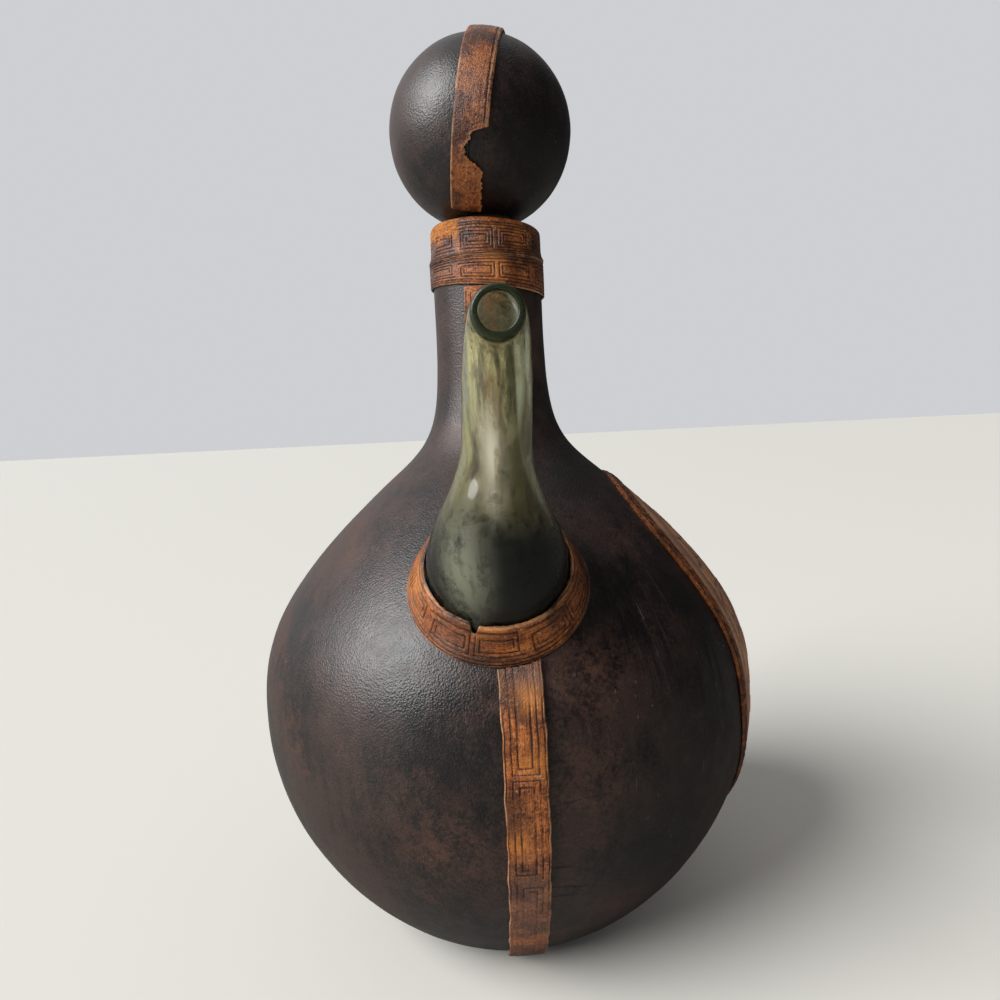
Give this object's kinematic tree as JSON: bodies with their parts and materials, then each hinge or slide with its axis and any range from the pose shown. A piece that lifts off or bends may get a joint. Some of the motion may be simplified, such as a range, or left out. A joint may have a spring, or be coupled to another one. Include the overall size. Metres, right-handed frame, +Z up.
{
  "type": "leather-wrapped decanter",
  "caption": "Round glass decanter wrapped in dark leather with tan tooled strips and a side medallion, a swan-neck glass spout and a leather ball stopper on a cork.",
  "frame": {"origin": "middle of the underside of the base disc, on the table", "axes": "+Z up along the neck, -Y towards the spout, +X towards the medallion"},
  "size_m": [0.1617, 0.1739, 0.2891],
  "materials": {
    "glass": "clear green, polished",
    "dark_leather": "waxed semi-gloss, worn",
    "tan_leather": "tooled, stained",
    "panel_leather": "tooled, faded",
    "base_leather": "rough flesh side",
    "wood": "turned, bare",
    "cork": "natural cork"
  },
  "bodies": {
    "flask": {"glass_flask": "glass", "body_leather_left": "dark_leather", "body_leather_right": "dark_leather", "front_strip": "tan_leather", "neck_strip": "tan_leather", "back_strip": "tan_leather", "spout_collar": "tan_leather", "neck_band_lower": "tan_leather", "neck_band_upper": "tan_leather", "side_panel": "panel_leather", "side_panel_border": "tan_leather", "base_disc": "base_leather"},
    "cork": {"stopper_cork": "cork", "stopper_dowel": "wood"},
    "ball": {"stopper_core": "wood", "stopper_leather_left": "dark_leather", "stopper_leather_right": "dark_leather", "stopper_strip": "tan_leather"}
  },
  "joints": [
    {"name": "stopper_lift", "type": "slide", "parent": "flask", "child": "cork", "axis": [0, 0, 1], "range_m": [0, 0.04]},
    {"name": "stopper_twist", "type": "hinge", "parent": "cork", "child": "ball", "pos_m": [0, 0, 0.25], "axis": [0, 0, 1], "continuous": true}
  ]
}
